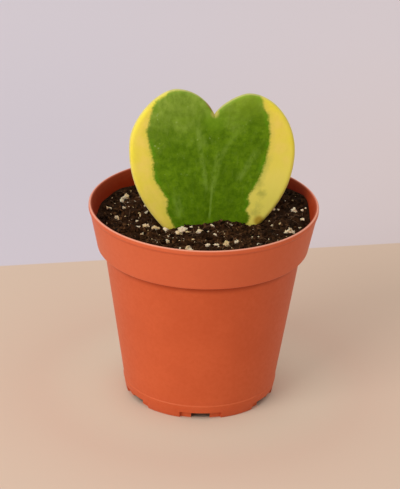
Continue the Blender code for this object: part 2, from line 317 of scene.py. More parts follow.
def wallRadius(height):
    # how far the pot's inner wall is from its middle
    p = pot
    stops = [(p["heelHeight"], p["heelRadius"]), (p["stepHeight"] + p["stepThick"], p["stepRadius"]),
             (p["bandHeight"] + p["stepThick"], p["bandRadius"]), (rimHeight, rimRadius)]
    for (z0, r0), (z1, r1) in zip(stops, stops[1:]):
        if height <= z1:
            break
    return r0 + (r1 - r0) * (height - z0) / (z1 - z0) - p["wall"]


def selectRing(piece, radius, height):
    # selects the edge loop that lies at one radius and height
    bpy.ops.object.mode_set(mode="OBJECT")
    slack = 0.02 * mm
    for vert in piece.data.vertices:
        vert.select = False
    for face in piece.data.polygons:
        face.select = False

    def onRing(index):
        spot = piece.data.vertices[index].co
        return abs(math.hypot(spot.x, spot.y) - radius) < slack and abs(spot.z - height) < slack

    for edge in piece.data.edges:
        edge.select = onRing(edge.vertices[0]) and onRing(edge.vertices[1])
    bpy.ops.object.mode_set(mode="EDIT")


def turnedShell(name, corners, steps):
    # a disc whose rim is drawn out from corner to corner and closed again at the axis
    deselectAll()
    radius, height = corners[0][:2]
    bpy.ops.mesh.primitive_circle_add(vertices=steps, radius=radius, fill_type="TRIFAN",
                                      location=(0, 0, height))
    shell = takeActive(name)
    bakePlace(shell)
    bpy.ops.object.mode_set(mode="EDIT")
    bpy.ops.mesh.select_mode(type="EDGE")
    bpy.ops.mesh.select_all(action="DESELECT")
    bpy.ops.mesh.select_non_manifold()
    for nextRadius, nextHeight, _, _ in corners[1:]:
        drawOut(nextHeight - height, nextRadius / radius, nextHeight)
        radius, height = nextRadius, nextHeight
    closeRing()
    turnOutward()
    for radius, height, rounding, parts in corners:
        if rounding:
            selectRing(shell, radius, height)
            bpy.ops.mesh.bevel(offset=rounding, segments=parts, profile=0.5, affect="EDGES")
    bpy.ops.object.mode_set(mode="OBJECT")
    return shell


def aroundFoot(makeOne, name):
    # one cutter at the heading of each notch, joined
    count = pot["notches"]
    headings = [turn * index / count - turn / 4 + pot["notchTurn"] for index in range(count)]
    return joinPieces([makeOne(heading) for heading in headings], name)


def recessCutter(heading):
    # a small upright face, spun round the foot's edge
    p = pot
    inner = p["footRadius"] - p["notchDepth"]
    width, height = p["recessReach"], p["notchHeight"] + p["recessDrop"]
    arc = math.radians(p["notchDegrees"])
    deselectAll()
    bpy.ops.mesh.primitive_plane_add(size=1.0)
    cutter = takeActive("recessCutter")
    cutter.data.transform(Matrix.Rotation(turn / 4, 4, "X") @ Matrix.Diagonal((width, height, 1.0, 1.0)))
    cutter.data.transform(Matrix.Translation((inner + width / 2, 0.0, p["notchHeight"] - height / 2)))
    cutter.data.transform(Matrix.Rotation(heading + arc / 2, 4, "Z"))
    bpy.ops.object.mode_set(mode="EDIT")
    bpy.ops.mesh.select_all(action="SELECT")
    bpy.ops.mesh.spin(steps=p["recessSteps"], angle=arc, center=(0, 0, 0), axis=(0, 0, 1))
    turnOutward()
    return cutter


def ventCutter(heading):
    deselectAll()
    bpy.ops.mesh.primitive_cube_add(size=1.0)
    cutter = takeActive("ventCutter")
    middle = Matrix.Translation((pot["footRadius"] - pot["footWidth"] / 2, 0.0, 0.0))
    size = Matrix.Diagonal((pot["ventReach"], pot["ventWidth"], 2.0 * pot["ventHeight"], 1.0))
    cutter.data.transform(Matrix.Rotation(heading, 4, "Z") @ middle @ size)
    return cutter


def drainCutter(heading):
    deselectAll()
    far = pot["drainCentre"]
    bpy.ops.mesh.primitive_cylinder_add(vertices=pot["drainSteps"], radius=pot["drainRadius"],
                                        depth=4 * pot["wall"],
                                        location=(far * math.cos(heading), far * math.sin(heading),
                                                  pot["floorHeight"]))
    return takeActive("drainCutter")


def carve(piece, cutter):
    tool = piece.modifiers.new("carve", "BOOLEAN")
    tool.operation = "DIFFERENCE"
    tool.solver = "EXACT"
    tool.object = cutter
    applyAll(piece)
    removePieces([cutter])


def potPaint():
    paint = Paint("terracottaPlastic", Specular_IOR_Level=0.4, Specular_Tint=(1.0, 0.62, 0.4, 1.0))
    point = paint.objectPoint(1.0 / mm)  # in mm
    height = paint.split(point, "Z")
    cloud = paint.noise(point, 0.06, 3.0)
    mottle = paint.noise(point, 0.7, 4.0, 0.6)
    base = paint.mix(paint.band(cloud, 0.35, 0.65), pot["plainTone"], pot["cloudTone"])
    base = paint.mix(paint.band(mottle, 0.3, 0.75) * 0.3, base, pot["mottleTone"])
    # the rim band is a touch paler than the body
    bandLow = pot["bandHeight"] / mm
    base = paint.mix(paint.band(height, bandLow - 0.3, bandLow + 0.1) * 0.4, base, pot["bandTone"])
    # painted highlights: the top of the lip and the heel ring are painted paler
    lipTop = rimHeight / mm
    base = paint.mix(paint.band(height, lipTop - 0.4, lipTop - 0.05) * 0.75, base, pot["lipHighlightTone"])
    heelHighlight = paint.band(abs(height - pot["heelHeight"] / mm + 0.1), 0.35, 0.1)
    base = paint.mix(heelHighlight * 0.3, base, pot["heelHighlightTone"])
    # painted shade in the crease under the rim band and under the lip
    creaseShade = paint.band(height, bandLow - 3.4, bandLow - 0.7)
    creaseShade = creaseShade * paint.band(height, bandLow - 0.05, bandLow - 0.25)
    creaseShade = creaseShade * (0.75 + 0.5 * paint.noise(point, 0.15, 2.0))
    lipLow = (rimHeight - pot["lipHeight"] - pot["lipProud"]) / mm
    creaseShade = creaseShade.math("MAXIMUM", 0.3 * paint.band(abs(height - lipLow), 0.7, 0.1))
    base = paint.mix(creaseShade * 0.75, base, pot["creaseShadeTone"])
    # the inside is darkened, partly by a stain from wet soil and partly as painted shade, a little more below
    # the rim; across the wall it is painted darker towards the right and lighter again at the far right edge,
    # as light falls
    inside = paint.attribute("innerWall")
    wetAndShaded = paint.band(height + 3.0 * paint.noise(point, 0.3, 4.0), lipTop + 1.5, lipTop - 3.0)
    x = paint.split(point, "X")
    stain = paint.mix(paint.band(x, 5.0, 25.0), pot["shadeAndStainLeft"], pot["shadeAndStainRight"])
    stain = paint.mix(paint.band(x, 34.0, 38.0), stain, pot["shadeAndStainEdge"])
    base = paint.mix(inside * (0.75 + 0.25 * wetAndShaded), base, stain)
    # dust low on the body
    dust = paint.band(paint.noise(point, 0.25, 5.0, 0.65), 0.55, 0.8) * paint.band(height, 9.0, 0.0)
    base = paint.mix(dust * 0.3, base, pot["dustTone"])
    paint.set("Base Color", base)
    paint.set("Roughness", 0.4 + 0.16 * mottle + 0.4 * inside)
    grain = paint.noise(point, 2.2, 3.0, 0.6) + 0.5 * paint.noise(point, 0.45, 2.0)
    paint.set("Normal", paint.bump(grain, 0.25, 0.05 * mm))
    return paint.material


def markInside(shell):
    # 1 on the wall's inner face and on the floor inside
    inner = shell.data.attributes.new("innerWall", "FLOAT", "POINT")
    for vert in shell.data.vertices:
        radius, height = math.hypot(vert.co.x, vert.co.y), vert.co.z
        within = height > pot["floorHeight"] - 0.1 * mm and radius < wallRadius(height) + 0.3 * mm
        inner.data[vert.index].value = 1.0 if within else 0.0


def makePot():
    shell = turnedShell("nurseryPot", potCorners(), pot["steps"])
    carve(shell, aroundFoot(recessCutter, "recesses"))
    carve(shell, aroundFoot(ventCutter, "vents"))
    carve(shell, aroundFoot(drainCutter, "drains"))
    markInside(shell)
    smooth(shell, 35.0)
    finishPiece(shell, potPaint(), "pot")
    print("pot: turned, notched and painted")


soil = dict(
    level=65.0 * mm, slope=(0.02, 0.015), lump=0.8 * mm, lumpSize=9.0 * mm, gap=0.15 * mm,
    grid=200, floorGap=0.35 * mm, bottomBevel=1.0 * mm, stepGap=0.3 * mm, edgeFade=18.0,
    # fine relief, as depth in mm and size: clods, bits and grit
    relief=[(0.605, 2.6 * mm), (0.5, 1.3 * mm), (0.28, 0.6 * mm)],
    peatDark=tone(42, 24, 10), peatBrown=tone(70, 42, 21), lightBit=tone(124, 86, 52),
    # the second tone on the next line is painted shade
    darkBit=tone(9, 7, 6), shadedPeat=tone(24, 15, 8),
    # low mounds and dips: x, y, radius and rise in mm
    mounds=[(-13.5, -6, 6, -2.0), (33, 14, 9, 2.2), (18.5, -1, 6, -1.8), (35, -8, 7, -1.5),
            (-30, 12, 9, 0.8), (-5, -7, 4.5, 0.5), (10.5, -4, 4.5, 0.8), (37, 2, 8, -2.0)],
)


def soilHeight(x, y):
    # the broad level with its mounds and lumps
    s = soil
    height = s["level"] + s["slope"][0] * x + s["slope"][1] * y
    for moundX, moundY, radius, rise in s["mounds"]:
        away = ((x / mm - moundX) ** 2 + (y / mm - moundY) ** 2) / radius ** 2
        height += rise * mm * math.exp(-away)
    return height + s["lump"] * noise.noise(Vector((x, y, 0.0)) / s["lumpSize"])


def crumbly(x, y):
    # the fine relief of the peat, on a flat slice through the noise
    spot = Vector((x, y, 0.013))
    (clods, clodSize), (bits, bitSize), (grit, gritSize) = soil["relief"]
    height = bits * noise.noise(spot / bitSize) + grit * noise.noise(spot / gritSize)
    return mm * (height - clods * noise.voronoi(spot / clodSize)[0][0])


def soilBody():
    # a grid squeezed into a disc, shaped as the mix's top and drawn down to the floor
    deselectAll()
    count = soil["grid"]
    bpy.ops.mesh.primitive_grid_add(x_subdivisions=count, y_subdivisions=count, size=2.0)
    body = takeActive("peatBed")
    reach = wallRadius(soil["level"]) - soil["gap"]
    for vert in body.data.vertices:
        x, y = vert.co.x, vert.co.y
        x, y = x * math.sqrt(1.0 - y * y / 2.0), y * math.sqrt(1.0 - x * x / 2.0)
        x, y = x * reach, y * reach
        level = soilHeight(x, y)
        edge = min(1.0, (1.001 - math.hypot(x, y) / reach) * soil["edgeFade"])
        spread = (wallRadius(level) - soil["gap"]) / reach
        vert.co = (x * spread, y * spread, level + crumbly(x, y) * edge)
    bpy.ops.object.mode_set(mode="EDIT")
    bpy.ops.mesh.select_all(action="DESELECT")
    bpy.ops.mesh.select_non_manifold()
    bottom = pot["floorHeight"] + soil["floorGap"]
    steps = [pot["bandHeight"] + pot["stepThick"] + soil["stepGap"], pot["stepHeight"] + pot["stepThick"],
             bottom + soil["bottomBevel"], bottom]
    radius, height = wallRadius(soil["level"]), soil["level"]
    for index, nextHeight in enumerate(steps):
        nextRadius = wallRadius(nextHeight) - 2.0 * soil["gap"]
        if nextHeight == bottom:
            nextRadius -= soil["bottomBevel"]
        # the first step also levels the uneven edge
        drawOut(nextHeight - height, nextRadius / radius, nextHeight, flat=0.0 if index == 0 else 1.0)
        radius, height = nextRadius, nextHeight
    closeRing()
    turnOutward()
    return body


def soilPaint(name, bright):
    paint = Paint(name, Specular_IOR_Level=0.08)
    point = paint.objectPoint(1.0 / mm)
    patch = paint.noise(point, 0.35, 4.0, 0.6)
    bit = paint.split(paint.cells(point, 1.1, out="Color"), "X")
    base = paint.mix(paint.band(patch, 0.35, 0.7), soil["peatDark"], soil["peatBrown"])
    base = paint.mix(paint.band(bit, 0.8, 0.99) * bright, base, soil["lightBit"])
    base = paint.mix(paint.band(bit, 0.2, 0.0) * 0.8, base, soil["darkBit"])
    # painted shade: the right side and the edge by the wall are painted darker
    x, y = paint.split(point, "X"), paint.split(point, "Y")
    paintedShade = paint.band(x, 8.0, 26.0) * 0.4
    paintedShade = paintedShade.math("MAXIMUM", paint.band(paint.away(x, y), 28.0, 36.0) * 0.55)
    base = paint.mix(paintedShade, base, soil["shadedPeat"])
    paint.set("Base Color", base)
    paint.set("Roughness", 0.8 + 0.2 * patch)
    paint.set("Normal", paint.bump(paint.noise(point, 3.0, 4.0, 0.65), 0.6, 0.15 * mm))
    return paint.material


crumbs = dict(
    seed=4, count=1700, size=(0.35 * mm, 1.0 * mm), clods=90, clodSize=(0.9 * mm, 1.7 * mm),
    lift=(-0.1, 0.5), clodLift=(-0.2, 0.15),
    # how long, wide and high a lump may be, as shares of its size
    shares=[(0.9, 1.5), (0.8, 1.1), (0.6, 0.9)],
)
fibres = dict(
    seed=9, count=170, length=(2.5 * mm, 7.0 * mm), thick=0.11 * mm, lift=0.5 * mm,
    dark=tone(40, 26, 16), light=tone(128, 92, 58),
)
grains = dict(
    seed=21, small=(0.3 * mm, 0.6 * mm), large=(0.7 * mm, 1.2 * mm), dust=(0.13 * mm, 0.3 * mm),
    dustCount=260, cream=tone(240, 222, 190), sandy=tone(222, 192, 140), green=tone(196, 190, 104),
    dirt=tone(120, 88, 58), pore=tone(180, 150, 112),
    lift=(0.0, 0.45), dustLift=0.6, placedLift=0.35, placedGrowth=1.12,
    # middle x and y and spread in mm, then how many small and large grains
    clusters=[(-26, 8, 7, 9, 0), (-16, -10, 6, 8, 0), (-2, -14, 8, 9, 0), (26, -8, 7, 6, 0),
              (6, -20, 8, 5, 0), (0, 20, 14, 14, 4), (24, 14, 9, 7, 1), (0, 0, 22, 10, 0)],
    # the grains that stand out: x, y and radius in mm
    placed=[(-28.8, 12.5, 0.75), (-28.2, 15, 0.95), (-27.4, 17.5, 0.8), (-26.5, 20.5, 0.6),
            (-24.5, 12.5, 0.5), (-33, 6.5, 0.7), (-28, 7, 0.5), (-22.5, 2.5, 0.75), (-20, 4, 0.6),
            (-30, -2, 0.8), (-22.5, -7, 0.5), (-20, -5.5, 0.9), (-16.5, -6.5, 1.3), (-13, -7.5, 1.0),
            (-7, -10.3, 1.2), (-8.5, -12.8, 0.9), (-21, -12, 0.5), (-12, -18.5, 0.8), (-5, -12, 0.65),
            (-1.5, -11, 0.95), (-5, -25, 0.8), (3, -6.5, 0.75), (4.5, -13.5, 0.7), (1.5, -22, 0.75),
            (4.5, -21, 0.9), (8, -20.5, 1.1), (11.5, -19, 0.7), (19, -15.5, 0.65), (26.5, -4, 0.65),
            (29, -8, 1.0), (31, -8.5, 0.9), (31.5, 7, 0.65), (34.5, 2.5, 0.7), (9.5, -5.5, 0.45)],
)


def leafDistance(x, y):
    # how far a spot of soil is from the strip where the blade goes in
    away = Vector((x, y)) - leafAtSoil.xy
    across = Vector((math.cos(leaf["yaw"]), math.sin(leaf["yaw"])))
    along = max(-leaf["stripLeft"], min(leaf["stripRight"], away.dot(across)))
    return (away - across * along).length - leaf["thickness"] / 2


def scatterSpot(draw, margin, middle=None, spread=0.0):
    # a seeded place on the soil, inside the pot and beside the leaf; anywhere if it has no middle
    while True:
        if middle:
            x, y = draw.gauss(middle[0], spread), draw.gauss(middle[1], spread)
        else:
            far = math.sqrt(draw.random()) * rimRadius
            heading = draw.uniform(0.0, turn)
            x, y = far * math.cos(heading), far * math.sin(heading)
        if math.hypot(x, y) > wallRadius(soilHeight(x, y)) - soil["gap"] - margin:
            continue
        if leafDistance(x, y) < 0.6 * margin:
            continue
        return x, y


def randomTurn(draw):
    axis = Vector((draw.gauss(0, 1), draw.gauss(0, 1), draw.gauss(0, 1))).normalized()
    return Matrix.Rotation(draw.uniform(0.0, turn), 4, axis)


def lumpTemplate(name, subdivisions, rough, seed):
    # an uneven ball of unit size
    deselectAll()
    bpy.ops.mesh.primitive_ico_sphere_add(subdivisions=subdivisions, radius=1.0)
    lump = takeActive(name)
    for vert in lump.data.vertices:
        spot = vert.co + Vector((7.3 * seed, 0.0, 0.0))
        push = rough * (noise.noise(spot * 1.3) + 0.6 * noise.noise(spot * 3.1))
        vert.co *= 1.0 + push
    return lump


def placeLump(draw, template, x, y, size, lift):
    # a stretched and turned copy on the soil; lift is the height of its middle, as a share of its size
    stretch = Matrix.Diagonal((*(size * draw.uniform(*share) for share in crumbs["shares"]), 1.0))
    height = soilHeight(x, y) + crumbly(x, y) + size * lift
    return copyPiece(template, Matrix.Translation((x, y, height)) @ randomTurn(draw) @ stretch)


def makeCrumbs():
    draw = random.Random(crumbs["seed"])
    templates = [lumpTemplate(f"crumb{index}", subdivisions=1, rough=0.45, seed=index) for index in range(5)]
    clods = [lumpTemplate(f"clod{index}", subdivisions=2, rough=0.5, seed=5 + index) for index in range(4)]
    made = []
    for index in range(crumbs["count"]):
        size = draw.uniform(*crumbs["size"])
        x, y = scatterSpot(draw, size)
        made.append(placeLump(draw, draw.choice(templates), x, y, size, draw.uniform(*crumbs["lift"])))
    for index in range(crumbs["clods"]):
        size = draw.uniform(*crumbs["clodSize"])
        x, y = scatterSpot(draw, size)
        made.append(placeLump(draw, draw.choice(clods), x, y, size, draw.uniform(*crumbs["clodLift"])))
    removePieces(templates + clods)
    joined = joinPieces(made, "peatCrumbs")
    smooth(joined, 40.0)
    return joined


def makeFibres():
    # one bent root hair, copied and laid about
    draw = random.Random(fibres["seed"])
    deselectAll()
    bpy.ops.mesh.primitive_cylinder_add(vertices=5, radius=1.0, depth=1.0)
    template = takeActive("fibre")
    bpy.ops.object.mode_set(mode="EDIT")
    for height in (-0.3, -0.1, 0.1, 0.3):
        bpy.ops.mesh.select_all(action="SELECT")
        bpy.ops.mesh.bisect(plane_co=(0, 0, height), plane_no=(0, 0, 1))
    bpy.ops.object.mode_set(mode="OBJECT")
    made = []
    for index in range(fibres["count"]):
        length = draw.uniform(*fibres["length"])
        x, y = scatterSpot(draw, length / 2)
        strand = copyPiece(template, Matrix.Identity(4))
        bow = draw.uniform(-0.25, 0.25) * length
        sway = draw.uniform(-0.2, 0.2) * length
        for vert in strand.data.vertices:
            along = vert.co.z
            thin = fibres["thick"] * (1.1 - 1.4 * abs(along))
            curve = Vector((bow * (1 - 4 * along * along), sway * math.sin(5.0 * along), along * length))
            vert.co = curve + Vector((vert.co.x, vert.co.y, 0.0)) * thin
        heading = Matrix.Rotation(draw.uniform(0.0, turn), 4, "Z")
        lying = Matrix.Rotation(turn / 4 + draw.gauss(0, 0.25), 4, "X")
        height = soilHeight(x, y) + crumbly(x, y) + fibres["lift"]
        strand.matrix_world = Matrix.Translation((x, y, height)) @ heading @ lying
        made.append(strand)
    removePieces([template])
    joined = joinPieces(made, "peatFibres")
    smooth(joined, 60.0)
    return joined


def perlitePaint():
    paint = Paint("perlite", Specular_IOR_Level=0.3, Subsurface_Weight=0.08, Subsurface_Scale=0.6 * mm)
    point = paint.objectPoint(1.0 / mm)
    stain = paint.noise(point, 0.22, 2.0)
    pores = paint.cells(point, 2.4)
    base = paint.mix(paint.band(stain, 0.42, 0.62), grains["cream"], grains["sandy"])
    base = paint.mix(paint.band(stain, 0.66, 0.78), base, grains["green"])
    dirt = paint.band(paint.noise(point, 0.9, 4.0, 0.7), 0.52, 0.78)
    base = paint.mix(dirt * 0.75, base, grains["dirt"])
    base = paint.mix(paint.band(pores, 0.25, 0.05) * 0.35, base, grains["pore"])
    paint.set("Base Color", base)
    paint.set("Roughness", 0.85)
    paint.set("Normal", paint.bump(pores + 0.5 * paint.noise(point, 2.0, 3.0), 0.3, 0.2 * mm))
    return paint.material


def makePerlite():
    draw = random.Random(grains["seed"])
    small = [lumpTemplate(f"grain{index}", subdivisions=2, rough=0.5, seed=20 + index) for index in range(4)]
    large = [lumpTemplate(f"chunk{index}", subdivisions=3, rough=0.62, seed=30 + index) for index in range(4)]
    made = []
    for x, y, spread, smallCount, largeCount in grains["clusters"]:
        for count, sizes, templates in ((largeCount, grains["large"], large),
                                        (smallCount, grains["small"], small)):
            for index in range(count):
                size = draw.uniform(*sizes)
                spot = scatterSpot(draw, size, (x * mm, y * mm), spread * mm)
                made.append(placeLump(draw, draw.choice(templates), *spot, size,
                                      draw.uniform(*grains["lift"])))
    for x, y, size in grains["placed"]:
        size = grains["placedGrowth"] * size * mm
        made.append(placeLump(draw, draw.choice(large), x * mm, y * mm, size, grains["placedLift"]))
    specks = [lumpTemplate(f"speck{index}", subdivisions=1, rough=0.4, seed=40 + index) for index in range(3)]
    for index in range(grains["dustCount"]):
        size = draw.uniform(*grains["dust"])
        spot = scatterSpot(draw, size)
        made.append(placeLump(draw, draw.choice(specks), *spot, size, grains["dustLift"]))
    removePieces(small + large + specks)
    joined = joinPieces(made, "perliteGrains")
    smooth(joined, 50.0)
    return joined


def makeSoil():
    body = soilBody()
    smooth(body, 60.0)
    finishPiece(body, soilPaint("peat", 0.35), "potting_soil")
    finishPiece(makeCrumbs(), soilPaint("peatCrumb", 0.6), "potting_soil")
    strands = Paint("peatFibre", Roughness=0.9)
    point = strands.objectPoint(1.0 / mm)
    strands.set("Base Color", strands.mix(strands.noise(point, 0.3, 2.0), fibres["dark"], fibres["light"]))
    finishPiece(makeFibres(), strands.material, "potting_soil")
    finishPiece(makePerlite(), perlitePaint(), "potting_soil")
    print("soil: bed, crumbs, fibres and perlite")


leaf = dict(
    tipAt=Vector((1.0, -4.9, 47.8)) * mm, yaw=math.radians(8.0), lean=math.radians(8.0),
    spin=math.radians(-3.1), notch=Vector((0.0, 55.4)) * mm, centre=Vector((0.0, 36.0)) * mm,
    rightSide=Vector((29.1, 41.7)) * mm, rightLobe=Vector((11.8, 63.1)) * mm,
    leftLobe=Vector((-13.2, 63.9)) * mm, leftSide=Vector((-28.75, 44.3)) * mm,
    thickness=2.8 * mm, edgeRound=1.6 * mm, arch=1.5 * mm, segments=288, rings=72,
    groove=0.22 * mm, grooveWidth=0.7 * mm, grooveTop=40.0 * mm, wave=0.25 * mm, waveSize=14.0 * mm,
    # the strip of soil that the blade goes into, to the left and right of its middle
    stripLeft=13.5 * mm, stripRight=17.5 * mm,
    mapSize=100.0 * mm,  # what the UV map's square spans
)
stalk = dict(
    seed=11, length=10.0 * mm, radius=1.7 * mm, inside=4.0 * mm, behind=0.6 * mm, steps=8,
    roots=6, rootSteps=14, rootLength=(18.0 * mm, 27.0 * mm), rootRadius=0.65 * mm, rootTip=0.35 * mm,
    rootStart=2.5 * mm, rootRise=0.5 * mm, spread=1.1, sway=0.9,
    brown=tone(150, 116, 78), tan=tone(196, 170, 128),
)


def bezier(p0, p1, p2, p3, t):
    s = 1.0 - t
    return p0 * s ** 3 + p1 * 3 * s * s * t + p2 * 3 * s * t * t + p3 * t ** 3


def leafEdge(share):
    # the blade's outline, up the right side from the point, over both lobes and down the left;
    # each arc has its start, its two handles and its end
    right, up = Vector((mm, 0.0)), Vector((0.0, mm))
    point = Vector((0.0, 0.0))
    k = leaf
    arcs = [
        (point, 10.4 * right + 10.5 * up, k["rightSide"] - 21.6 * up, k["rightSide"]),
        (k["rightSide"], k["rightSide"] + 11.7 * up, k["rightLobe"] + 8.6 * right, k["rightLobe"]),
        (k["rightLobe"], k["rightLobe"] - 3.0 * right, k["notch"] + 1.8 * right + 3.9 * up, k["notch"]),
        (k["notch"], k["notch"] - 1.8 * right + 3.9 * up, k["leftLobe"] + 6.6 * right, k["leftLobe"]),
        (k["leftLobe"], k["leftLobe"] - 6.5 * right, k["leftSide"] + 8.8 * up, k["leftSide"]),
        (k["leftSide"], k["leftSide"] - 24.6 * up, -9.2 * right + 10.9 * up, point),
    ]
    place = (share % 1.0) * len(arcs)
    index = min(int(place), len(arcs) - 1)
    return bezier(*arcs[index], place - index)


def leafMatrix():
    upright = Matrix.Rotation(leaf["yaw"], 4, "Z") @ Matrix.Rotation(turn / 4 - leaf["lean"], 4, "X")
    return Matrix.Translation(leaf["tipAt"]) @ upright @ Matrix.Rotation(leaf["spin"], 4, "Z")


leafAtSoil = leafMatrix() @ Vector((0.0, soil["level"] - leaf["tipAt"].z, 0.0))


def bladeBow(u, v):
    # the blade bows back towards its sides and lobes, and waves a little
    across = u / leaf["rightSide"].x
    along = (v - leaf["centre"].y) / leaf["centre"].y
    wave = leaf["wave"] * noise.noise(Vector((u, v, 0.3)) / leaf["waveSize"])
    return wave - leaf["arch"] * (across ** 2 + 0.4 * along ** 2)


def makeBlade():
    # a ball whose circles of latitude become ever smaller copies of the blade's edge
    deselectAll()
    bpy.ops.mesh.primitive_uv_sphere_add(segments=leaf["segments"], ring_count=leaf["rings"], radius=1.0)
    blade = takeActive("leafBlade")
    mesh = blade.data
    while mesh.uv_layers:
        mesh.uv_layers.remove(mesh.uv_layers[0])
    rim = mesh.attributes.new("rimDistance", "FLOAT", "POINT")
    back = mesh.attributes.new("backFace", "FLOAT", "POINT")
    for vert in mesh.vertices:
        ball = vert.co.copy()
        reach = min(1.0, math.hypot(ball.x, ball.y))
        outward = leafEdge(math.atan2(ball.y, ball.x) / turn + 1e-7) - leaf["centre"]
        inward = (1.0 - reach) * outward.length
        curve = min(1.0, inward / leaf["edgeRound"])
        half = leaf["thickness"] / 2 * math.sqrt(1.0 - (1.0 - curve) ** 2)
        spot = leaf["centre"] + outward * reach
        rib = math.exp(-(spot.x / leaf["grooveWidth"]) ** 2) * max(0.0, 1.0 - spot.y / leaf["grooveTop"])
        if ball.z > 0:
            lift = half - leaf["groove"] * rib
        else:
            lift = -half - 2.0 * leaf["groove"] * rib
        if reach > 0.9999:
            lift = 0.0
        vert.co = (spot.x, spot.y, lift + bladeBow(spot.x, spot.y))
        rim.data[vert.index].value = inward / mm
        back.data[vert.index].value = 1.0 if ball.z < 0 else 0.0
    layer = mesh.uv_layers.new(name="leafMap")
    for loop in mesh.loops:
        spot = mesh.vertices[loop.vertex_index].co
        layer.data[loop.index].uv = (0.5 + spot.x / leaf["mapSize"], spot.y / leaf["mapSize"])
    mesh.transform(leafMatrix())
    smooth(blade, 180.0)
    return blade


def stalkRun():
    # points and radii down the stalk, which is widest half way
    placed = leafMatrix()
    points = []
    for index in range(stalk["steps"] + 1):
        along = index / stalk["steps"]
        up = stalk["inside"] - (stalk["length"] + stalk["inside"]) * along
        spot = placed @ Vector((0.0, up, -stalk["behind"]))
        points.append((spot, stalk["radius"] * (0.75 + 0.25 * math.sin(math.pi * along))))
    return points


def rootRun(draw, start, index):
    # points and radii along one thin root, which spreads out and then turns down
    heading = turn * (index + draw.uniform(-0.25, 0.25)) / stalk["roots"]
    length = draw.uniform(*stalk["rootLength"])
    spread = stalk["spread"] * draw.uniform(0.5, 1.2)
    wave = draw.uniform(0.0, turn)
    spot = start + Vector((0.0, 0.0, stalk["rootStart"] + stalk["rootRise"] * index))
    points = []
    for step in range(stalk["rootSteps"] + 1):
        along = step / stalk["rootSteps"]
        radius = stalk["rootRadius"] + (stalk["rootTip"] - stalk["rootRadius"]) * along
        points.append((spot.copy(), radius))
        sway = heading + stalk["sway"] * math.sin(wave + 5.0 * along)
        flat = spread * (1.0 - 0.75 * along)
        stride = Vector((flat * math.cos(sway), flat * math.sin(sway), -1.0))
        spot += stride.normalized() * length / stalk["rootSteps"]
    return points


def tubeFrom(points, name):
    # a tapering tube
    curve = bpy.data.curves.new(name, "CURVE")
    curve.dimensions = "3D"
    curve.bevel_depth = 1.0
    curve.bevel_resolution = 3
    curve.use_fill_caps = True
    spline = curve.splines.new("POLY")
    spline.points.add(len(points) - 1)
    for made, (spot, radius) in zip(spline.points, points):
        made.co = (*spot, 1.0)
        made.radius = radius
    guide = bpy.data.objects.new(name, curve)
    bpy.context.scene.collection.objects.link(guide)
    activate(guide)
    bpy.ops.object.convert(target="MESH")
    tube = takeActive(name)
    bpy.ops.object.mode_set(mode="EDIT")
    bpy.ops.mesh.select_all(action="SELECT")
    bpy.ops.mesh.remove_doubles(threshold=0.001 * mm)
    turnOutward()
    return tube


leafMarks = dict(
    # all places are in mm across from the midrib and up from the blade's point
    top=68.0, widest=30.0, fanBelow=6.0, notchAt=(0.0, 54.0), cleftAt=(0.0, 56.0), bruiseAt=(17.7, 18.2),
    # half widths of the green part, as height up the blade and distance from the midrib
    left=[(0, 3), (10, 9.0), (16, 12.3), (20.4, 14.8), (25.4, 14.9), (28.6, 17.5), (32.8, 19.9),
          (40.8, 21.0), (45.3, 22.6), (49.7, 23.2), (55.4, 22.1), (59.7, 20.6), (63.7, 17.5), (68, 14)],
    right=[(0, 4), (10, 9.5), (17.9, 13.9), (20.0, 14.4), (22.0, 13.0), (24.3, 14.1), (26.1, 13.2),
           (28.3, 14.5), (33.7, 17.1), (39.3, 18.8), (43.4, 19.5), (49.5, 19.8), (56.2, 18.7),
           (58.1, 17.2), (62.2, 15.8), (68, 13)],
    # paler streaks that rise from the stalk: where each starts and ends, half width and strength
    streaks=[((0.2, 19.0), (0.6, 32.0), 0.7, 0.5), ((0.3, 28.0), (2.4, 43.0), 2.0, 0.34),
             ((-1.4, 29.0), (-5.8, 50.0), 1.4, 0.42), ((9.5, 32.5), (15.0, 43.0), 1.7, 0.42),
             ((-10.0, 19.0), (-12.0, 27.0), 2.6, 0.34), ((-2.5, 44.0), (-6.0, 52.0), 1.9, 0.3),
             ((3.5, 42.0), (8.0, 50.0), 1.6, 0.28)],
    # grey-green smudges low in the right margin: middle, radius and strength
    smudges=[((18.0, 28.0), 2.6, 0.5), ((16.9, 31.2), 2.8, 0.3), ((17.2, 23.2), 2.6, 0.28),
             ((16.0, 21.2), 2.6, 0.4)],
    # greens
    green=tone(86, 122, 2), freshGreen=tone(110, 147, 12), paleVein=tone(122, 152, 46),
    darkVein=tone(66, 100, 0), darkPatch=tone(66, 98, 0), lobeSheen=tone(148, 174, 66), streak=tone(142, 172, 66),
    speck=tone(166, 188, 106), fringe=tone(98, 156, 14), rightLobeHighlight=tone(178, 206, 60),
    notchGreen=tone(124, 166, 30),
    # yellows
    yellow=tone(248, 226, 86), cream=tone(252, 224, 106), lemon=tone(252, 238, 60),
    dullYellow=tone(230, 202, 72), borderYellow=tone(216, 206, 76), litLowYellow=tone(255, 241, 110),
    haze=tone(176, 186, 84), smudge=tone(168, 170, 70),
    # edges and the back
    edge=tone(226, 216, 140), russet=tone(176, 124, 76), cleft=tone(222, 200, 110),
    bruise=tone(176, 128, 4), backGreen=tone(196, 202, 124),
)


def streakMask(paint, flat, start, end, width):
    # 1 on a straight streak from start to end, fading at its sides and ends
    run = Vector(end) - Vector(start)
    length = run.length
    run /= length
    u, v = paint.split(flat, "X") - start[0], paint.split(flat, "Y") - start[1]
    along = u * run.x + v * run.y
    aside = abs(u * run.y - v * run.x)
    ends = paint.band(along, -1.5, 1.5) * paint.band(along, length + 3.0, length - 3.0)
    return paint.band(aside, width, 0.0) * ends


def borderCurve(paint, height, widths):
    # how far the green reaches from the midrib at each height
    top, widest = leafMarks["top"], leafMarks["widest"]
    return paint.curve(height / top, [(z / top, width / widest) for z, width in widths]) * widest


